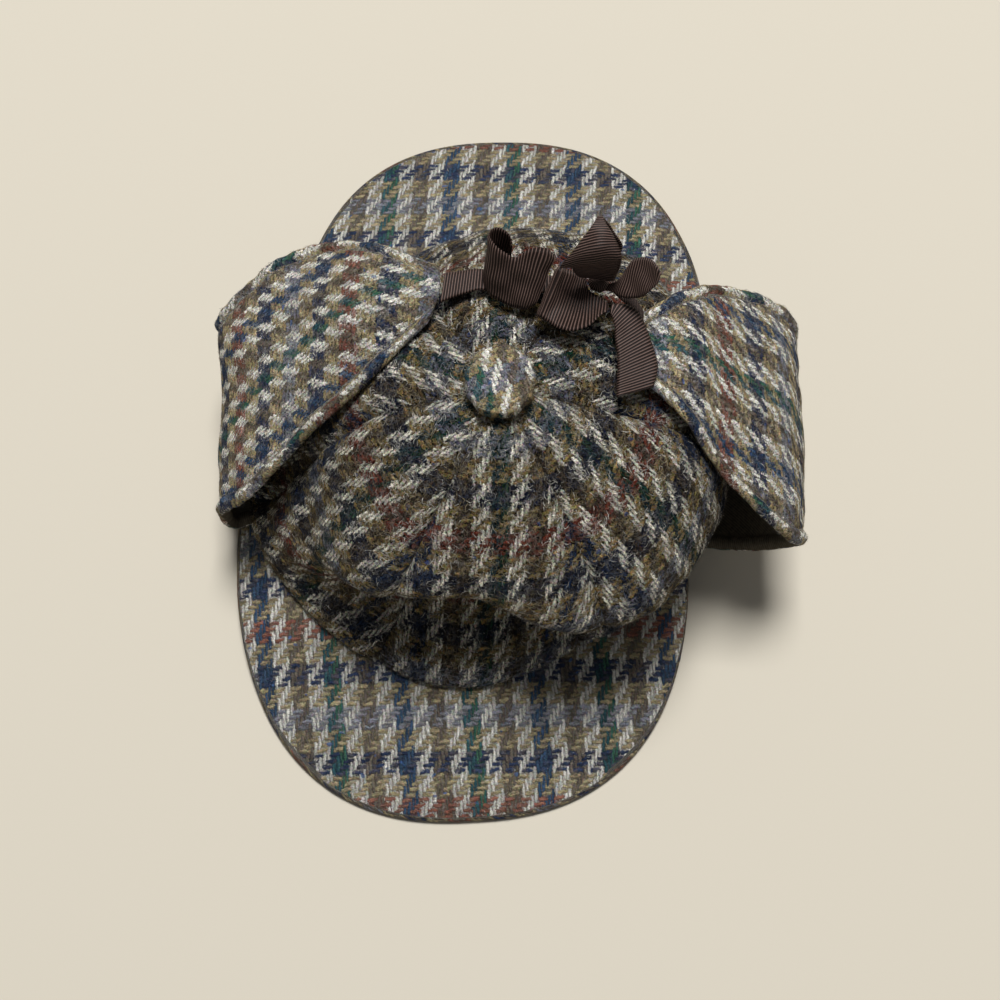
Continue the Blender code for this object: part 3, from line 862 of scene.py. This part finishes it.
def float_height(over, across, lean, lap, slimness):
    """Return the height of the oval floats, which lap a little over their neighbours."""
    reach = 1.0 + lap
    along = ((over + lap) % TWILL - reach) / reach
    leant = (across % 1.0 * 2.0 - 1.0 + along * lean) * slimness
    return (1.0 - (leant * leant + abs(along) ** 3.0)).at_least(0.0).root()


def band(graph, yarn, bands):
    """Return the colour of a yarn by its count."""
    stops = [(index / len(bands), colour) for index, colour in enumerate(bands)]
    return graph.ramp(yarn / REPEAT % 1.0, stops, "CONSTANT")


def spun(graph, colour, yarn, along, seed):
    """Vary a yarn's colour from yarn to yarn and from strand to strand."""
    own = graph.node("ShaderNodeTexWhiteNoise", {
        "Vector": graph.combine(yarn.floor(), seed)})
    strand = graph.noise(graph.vector("MULTIPLY", graph.combine(yarn, along), STRAND_STRETCH),
                         1.0, 2.0)
    return graph.scaled(colour, graph.range(own, 0, 1, *YARN_SHADES)
                        * graph.range(strand, 0.35, 0.65, *STRAND_SHADES))


def woven_colour(graph, threads, u, v, warp_up):
    """Return the colour of the yarn on top, where warp_up is 1 for the warp."""
    place = u % REPEAT
    green = place.above(GREEN_SIDE[0]) * place.below(GREEN_SIDE[1])
    warp = graph.mix(green, band(graph, u, WARP_BANDS), GREEN)
    broken = graph.range(graph.noise(threads, 0.42, 2.0), *WEFT_BREAKS)
    weft = graph.mix(broken, band(graph, v, WEFT_BANDS), BROWN)
    colour = graph.mix(warp_up, spun(graph, weft, v, u, 8.0), spun(graph, warp, u, v, 3.0))
    slubs = graph.noise(graph.vector("MULTIPLY", threads, SLUB_STRETCH), 1.0)
    return graph.mix(graph.range(slubs, *SLUBS), colour, SLUB)


def hair_lines(graph, place):
    """Return 1 along the thin curls that lie over the yarns, and 0 beside them."""
    lines = 0.0
    for index, scale in enumerate(HAIRS):
        shifted = graph.vector("ADD", place, [index * shift for shift in HAIR_SHIFT])
        value = graph.noise(shifted, scale, distortion=HAIR_WOBBLE)
        lines = graph.range(abs(value - 0.5), *HAIR_WIDTHS, 1.0, 0.0).at_least(lines)
    return lines


def tweed(name, brushed, gap_shade, slimness, depth, brightness_and_painted_light):
    """Make woven 2/2 twill with loose fibres over it, and its lining where that shows.

    brushed, 0 to 1, is how far loose fibres hide the yarns, gap_shade is how light the painted
    shade between them is, and slimness narrows their floats. The yarns' colours are raised to
    the power of depth and multiplied by brightness_and_painted_light, which is partly each
    cloth's own lightness and partly painted light that brightens the flaps and the button.
    """
    graph = Graph(name, WOOL)
    threads, place = graph.layer("threads", "Vector"), graph.place()
    strength = {effect: plain + more * brushed for effect, (plain, more) in BRUSHING.items()}

    # The higher of the two yarns shows.
    u, v = strayed(graph, {"threads": threads, "place": place}, brushed)
    warp = float_height(v - u.floor(), u, *WARP_FLOAT, slimness)
    weft = float_height(u - v.floor() - 1.0, v, *WEFT_FLOAT, slimness) * WEFT_HEIGHT
    height = warp.at_least(weft)
    warp_up = graph.range(warp - weft, -BLEND, BLEND)

    # Fibres of every colour are blended into the wool.
    woven = woven_colour(graph, threads, u, v, warp_up)
    flecked = graph.mix(strength["flecks"], woven, graph.noise(place, FLECKS, output="Color"),
                        "OVERLAY")
    yarn = graph.node("ShaderNodeGamma", {"Color": flecked, "Gamma": depth})
    grain, mottle = graph.noise(place, GRAIN), graph.noise(place, MOTTLE, 2.0)
    light = (graph.range(grain, 0.3, 0.7, strength["grain_dark"], strength["grain_light"])
             * graph.range(mottle, 0.35, 0.65, strength["mottle_dark"],
                           strength["mottle_light"]))
    # Painted shade: the colour darkens between the yarns' floats, where their height is low.
    colour = graph.scaled(yarn, light * graph.range(height, *GAP_SHADE_HEIGHTS, gap_shade, 1.0))

    # Hairs are lighter tints of the yarns below.
    hairs = hair_lines(graph, place)
    tint = graph.ramp(graph.noise(place, TINTS), HAIR_TINTS)
    hair = graph.mix(strength["hair_tint"], graph.scaled(yarn, HAIR_LIGHT), tint)
    # Partly painted light: each piece's cloth is made lighter or darker as a whole, the flaps and
    # the button brighter to stand in for light that falls short on them.
    colour = graph.scaled(graph.mix(hairs * strength["hairs"], colour, hair), brightness_and_painted_light)

    # The lining is a fine brown twill, and nearly flat.
    across, along, lining = graph.split(threads)
    twill = ((across + along) * LINING_TWILL).sine()
    satin = graph.ramp(twill * 0.2 + mottle, LINING_TINTS)
    relief = (height * strength["yarn_relief"] + grain * strength["grain_relief"]
              + hairs * strength["hair_relief"]) * (lining * LINING_RELIEF + 1.0)
    graph.surface(graph.mix(lining, colour, satin), relief, *WOOL_BUMP)


def loose_wool(name):
    """Make the wool of loose fibres, each in its own tint, lighter and darker along it."""
    graph = Graph(name, FIBRE)
    light = graph.range(graph.noise(graph.place(), SHADES), 0.3, 0.7, 0.6, 1.35)
    graph.surface(graph.scaled(graph.layer("tint", "Color"), light))


def grosgrain(name):
    """Make the ribbon's silk; its ribs are in the mesh, with painted shade and highlight on them.
    """
    graph = Graph(name, SILK)
    across, along, _ = graph.split(graph.layer("threads", "Vector"))
    warp = graph.noise(graph.combine(across * 9.0, along), 1.0, 2.0)
    # Painted light: the colour is lightest on the crest of each rib and darkest in the groove
    # between.
    shade = 1.0 - abs(along % 1.0 * 2.0 - 1.0) + (warp * 0.5 - 0.25)
    graph.surface(graph.ramp(shade, RIB_PAINTED_LIGHT), warp, *SILK_BUMP)


# ---- pieces
def dented(points, kind):
    """Return how far the soft dents of a kind of cloth raise each point."""
    return sum(depth * swell(points, wavelength, seed) for depth, wavelength, seed in DENTS[kind])


def faded(ridge, distance):
    """Return the height of a ridge, or depth of a groove, at a distance from its middle."""
    height, reach = ridge
    return height * np.exp(-(distance / reach) ** 2)


def waved(wall, waves):
    """Return waves that run along a wall and stray a little."""
    height, turn, straying, wavelength, seed = waves
    return height * np.sin(wall.forward * turn
                           + straying * swell(wall.points, wavelength, seed))


def flat_threads(x, y, end_turn=0.0, pick_turn=0.0, across=0.0, along=0.0):
    """Return the yarn coordinates of flat places."""
    ends, picks = math.radians(end_turn), math.radians(pick_turn)
    return np.stack([(x * math.cos(ends) + y * math.sin(ends)) / END + across,
                     (y * math.cos(picks) - x * math.sin(picks)) / PICK + along], axis=-1)


def add_cloth(name, kind, material, wall, threads, sheet, **shape):
    piece = wall.build(name + "_tweed", threads=threads, **shape)
    nap = add_nap(name + "_nap", wall.outer, threads, kind)
    declare_cloth(piece, wall.points, with_pieces=[nap], **sheet)
    dress(piece, name, material)


def build_gore(name, first_seam, last_seam):
    """Build one gore of the crown, pulled in along its seams."""
    wall = Wall(gore_face(first_seam, last_seam), "gore")
    near = wall.from_side
    puckers = waved(wall, PUCKERS) * np.exp(-near / PUCKER_REACH) * (
        1 - wall.along[:, None] ** PUCKER_CURVE)
    relief = (puckers + dented(wall.points, "gore") + faded(SEAM_PULL, near)
              + faded(SEAM_GROOVE, near)) * np.clip(wall.from_head / GORE_CALM, 0, 1)
    across, along = GORE_THREADS
    threads = np.stack([wall.offset / END + across, along
                        - wall.from_head[:, wall.middle, None] / PICK + 0 * wall.offset], axis=-1)
    add_cloth(name, "gore", "brushed_tweed", wall, threads, {"held": "stretched"},
              thickness=CROWN_CLOTH, outside=0.0, relief=relief, edge=SEAM_EDGE, lined=True)


def tucked(face, name):
    """Return a peak's face whose left end runs on, a little lower, below the flap."""
    start, back, down = PEAK_TUCKS[name]

    def lowered(across, along):
        points = face(across, along)
        share = np.clip(1 - (1 - across) / 2 / start, 0, 1) ** 2 * np.clip(along * 2, 0, 1)
        return points + np.stack([0 * share, back * share, -down * share], axis=-1)
    return lowered


def build_peak(name, *outline):
    """Build a stiffened peak with the cloth turned over its edge."""
    wall = Wall(tucked(peak_face(*outline), name), "peak", PEAK_LINES)
    threads = flat_threads(wall.points[..., 0], wall.points[..., 1], *FLAT_THREADS[name])
    fold = flat_threads(wall.from_head, wall.sideways, across=PEAK_FOLD_END)
    threads = np.where((wall.from_head < PEAK_FOLD)[..., None], fold, threads)
    relief = dented(wall.points, "peak") * np.clip(wall.from_head / PEAK_CALM, 0, 1)
    add_cloth(name, "peak", "pressed_tweed", wall, threads, {"held": "stretched"},
              thickness=DOUBLE_CLOTH, outside=0.5, relief=relief, edge=PEAK_EDGE)


def build_flap(name, rows, side):
    """Build an ear flap with its rolled and stitched hem."""
    wall = Wall(flap_face(rows, side), "flap", HEM_LINES)
    border = np.minimum(wall.from_side, wall.from_head)
    rolled = np.clip(wall.from_head / HEM_START, 0, 1) * faded(HEM_ROLL, border - HEM / 2)
    stitched = faded(STITCHES, border - HEM) * (
        0.75 + 0.25 * np.sin(wall.forward * STITCH_TURN))
    relief = dented(wall.points, "flap") + waved(wall, HEM_WAVES) * (border < HEM)
    relief *= np.clip(wall.from_end / FLAP_CALM, FLAP_CALMEST, 1)
    pick_width, lean, across, along = FLAP_THREADS[name]
    picks = wall.forward[:, wall.middle, None] / pick_width + along + 0 * wall.offset
    threads = np.stack([wall.offset / END + across + lean * picks, picks], axis=-1)
    bias = flat_threads(wall.from_side, wall.forward, HEM_TURN, HEM_TURN)
    threads = np.where((wall.from_side < HEM)[..., None], bias, threads)
    add_cloth(name, "flap", "flap_tweed", wall, threads,
              {"held": "folded", "rests_on": [gore[0] for gore in GORES]},
              thickness=DOUBLE_CLOTH + rolled + stitched, outside=0.5, relief=relief,
              edge=HEM_EDGE, lined=True)


def grid_normals(points):
    """Return the normals of a grid of points."""
    return unit(np.cross(np.gradient(points, axis=1), np.gradient(points, axis=0)))


def build_ribbon(name, rows):
    """Build a length of ribbon with its ribs and scalloped selvedges."""
    face = ribbon_face(rows)
    even = np.linspace(0, 1, PATH_STEPS)
    lines = face(np.array([[-1.0, 1.0]]), even[:, None])
    lengths = np.linalg.norm(np.diff(lines.mean(axis=1), axis=0), axis=-1)
    walked = np.concatenate([[0], np.cumsum(lengths)])
    ribs = walked[-1] / RIB
    steps = int(ribs * RIB_ROWS)
    along = np.interp(np.linspace(0, walked[-1], steps + 1), walked, even)
    across = np.linspace(-1, 1, RIBBON_COLUMNS)[None, :]
    phase = np.linspace(0, ribs, steps + 1)[:, None]
    crest = np.abs(np.sin(math.pi * phase))
    points = face(across * (1 + SELVEDGE * (crest - 0.5)), along[:, None])
    wide = np.linalg.norm(points[:, -1] - points[:, 0], axis=-1)[:, None]
    points = points + grid_normals(points) * dented(points, "ribbon")[..., None]
    half = RIBBON_CLOTH / 2 - RIB_HEIGHT + RIB_HEIGHT * crest + 0 * across
    half[:, [0, -1]] = half[[0, -1], :] = 0
    threads = np.stack([across * wide / 2 / RIB, phase + 0 * across], axis=-1)
    rise = grid_normals(points) * half[..., None]
    piece = closed_wall(name + "_grosgrain", points + rise, points - rise, threads)
    declare_cloth(piece, points, "gathered", rests_on=["ribbon_knot", "crown_gore_rear"])
    dress(piece, name, "ribbon_grosgrain")


def turned(profile, sides, centre, stretch):
    """Return the closed grid of a turned form, one row for each row of the profile."""
    angle = np.linspace(0, 2 * math.pi, sides + 1)
    radius, height = np.array(profile, dtype=float).T
    form = np.stack([radius[:, None] * np.cos(angle), radius[:, None] * np.sin(angle),
                     height[:, None] + 0 * angle], axis=-1)
    return form * np.array(stretch) + np.array(centre), angle[None, :]


def build_button():
    """Build the covered button, gathered round its edge."""
    steps = np.linspace(0, 1, TURNED_ROWS)
    knots = np.array(BUTTON_PROFILE, dtype=float)
    profile = smooth_path(np.broadcast_to(knots, (TURNED_ROWS, *knots.shape)), steps)
    form, angle = turned(profile, BUTTON_SIDES, (*LEAN, TOP[1] + BUTTON_GAP),
                         (BUTTON_RADIUS * BUTTON_STRETCH[0], BUTTON_RADIUS * BUTTON_STRETCH[1],
                          BUTTON_HEIGHT))
    steps = steps[:, None]
    gathers = np.sin(angle * BUTTON_GATHERS + 1.3 * np.sin(angle * 2)) * np.sin(
        math.pi * steps) ** 2 * np.clip(1.5 - 2.2 * np.abs(steps - 0.4), 0, 1)
    centre = np.array([*LEAN, TOP[1] + BUTTON_HEIGHT / 2])
    form = form + unit(form - centre) * (BUTTON_GATHER * gathers)[..., None]
    threads = flat_threads(form[..., 0] - LEAN[0], form[..., 1] - LEAN[1],
                           *FLAT_THREADS["crown_button"])
    piece = turned_piece("crown_button_tweed", form, threads)
    seen = slice(BUTTON_NAP_ROW, -1)
    add_nap("crown_button_nap", form[seen], threads[seen], "button")
    dress(piece, "crown_button", "button_tweed")


def build_knot():
    """Build the small knot that gathers the ribbon."""
    steps = np.linspace(0, 1, TURNED_ROWS)
    profile = np.stack([np.sin(math.pi * steps), -np.cos(math.pi * steps)], axis=-1)
    form, angle = turned(profile, KNOT_SIDES, KNOT_CENTRE, np.array(KNOT_RADII) - RIB_HEIGHT)
    steps, ribs = steps[:, None], angle * KNOT_RIBS / 2
    rise = RIB_HEIGHT * np.abs(np.sin(ribs)) * np.sin(math.pi * steps)
    form = form + unit(form - np.array(KNOT_CENTRE)) * rise[..., None]
    threads = np.stack([steps * KNOT_LENGTH + 0 * angle, ribs / math.pi + 0 * steps], axis=-1)
    piece = turned_piece("ribbon_knot_grosgrain", form, threads)
    dress(piece, "ribbon_knot", "ribbon_grosgrain")


def declare_cloth(piece, points, held, rests_on=(), with_pieces=()):
    """Take the steps across and along a sheet's grid of points."""
    across, along = (np.diff(points, axis=axis) for axis in (1, 0))
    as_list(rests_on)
    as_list(with_pieces)


def dress(piece, node, material):
    """Let a piece stand for its solid and take its finish."""
    piece.data.materials.append(bpy.data.materials[material])
    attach(piece, "root")
    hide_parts(node)


# ---- camera, floor and light
def add_camera():
    """Set the camera as the photograph's, looking down on the hat from its front."""
    right = Vector((math.cos(CAMERA_TURN), math.sin(CAMERA_TURN), 0))
    ahead = Vector((-math.sin(CAMERA_TURN), math.cos(CAMERA_TURN), 0))
    aim = right * CAMERA_AIM[0] + ahead * CAMERA_AIM[1]
    back = Vector((0, 0, math.sin(CAMERA_ELEVATION))) - ahead * math.cos(CAMERA_ELEVATION)
    data = bpy.data.cameras.new("camera")
    data.sensor_width = SENSOR
    data.lens = IMAGE_FOCAL / IMAGE_WIDTH * SENSOR
    camera = add_object("camera", data)
    turn = Matrix((right, back.cross(right), back)).transposed().to_4x4()
    place = (aim + back * CAMERA_DISTANCE) * MM + Vector(ORIGIN)
    camera.matrix_world = Matrix.Translation(place) @ turn
    bpy.context.scene.camera = camera


def add_floor():
    """Add a plain pale floor."""
    mesh = bpy.data.meshes.new("floor")
    corners = [(-1, -1, 0), (1, -1, 0), (1, 1, 0), (-1, 1, 0)]
    mesh.from_pydata([Vector(corner) * FLOOR_REACH for corner in corners], [], [(0, 1, 2, 3)])
    mesh.materials.append(Graph("floor", FLOOR).material)
    floor = add_object("floor", mesh)


def add_lamp():
    """Add a square area light, as of a window, that faces the hat's middle."""
    data = bpy.data.lights.new("window", "AREA")
    data.size = LAMP_SIZE
    data.energy = LAMP_POWER
    data.color = LAMP_COLOUR
    lamp = add_object("window", data)
    lamp.location = LAMP_PLACE
    lamp.rotation_euler = (Vector(LAMP_TARGET) - lamp.location).to_track_quat(
        "-Z", "Y").to_euler()


def add_world():
    """Add an even, faintly cool sky."""
    world = bpy.data.worlds.new("studio")
    world.use_nodes = True
    background = world.node_tree.nodes["Background"]
    for key, value in SKY.items():
        background.inputs[key].default_value = value
    bpy.context.scene.world = world


# ---- the scene
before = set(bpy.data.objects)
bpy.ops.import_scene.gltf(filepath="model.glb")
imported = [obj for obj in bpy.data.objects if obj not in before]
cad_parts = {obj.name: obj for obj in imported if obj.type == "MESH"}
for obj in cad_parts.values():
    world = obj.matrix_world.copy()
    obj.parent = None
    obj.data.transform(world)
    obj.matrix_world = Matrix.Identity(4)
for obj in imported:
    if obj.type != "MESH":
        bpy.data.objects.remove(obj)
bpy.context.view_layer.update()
button_low, button_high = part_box("crown_button")
ORIGIN = np.array([(button_low.x + button_high.x) / 2 - LEAN[0] * MM,
                   (button_low.y + button_high.y) / 2 - LEAN[1] * MM,
                   button_low.z - (TOP[1] + BUTTON_GAP) * MM])

for name, looks in TWEEDS.items():
    tweed(name, *looks)
grosgrain("ribbon_grosgrain")
loose_wool("loose_wool")

for gore in GORES:
    build_gore(*gore)
build_button()
for peak in PEAKS:
    build_peak(*peak)
build_flap("left_ear_flap", LEFT_FLAP, -1)
build_flap("right_ear_flap", RIGHT_FLAP, 1)
for name, rows in RIBBONS:
    build_ribbon(name, rows)
build_knot()

add_floor()
add_camera()
add_world()
add_lamp()
bpy.context.scene.view_settings.view_transform = "Standard"
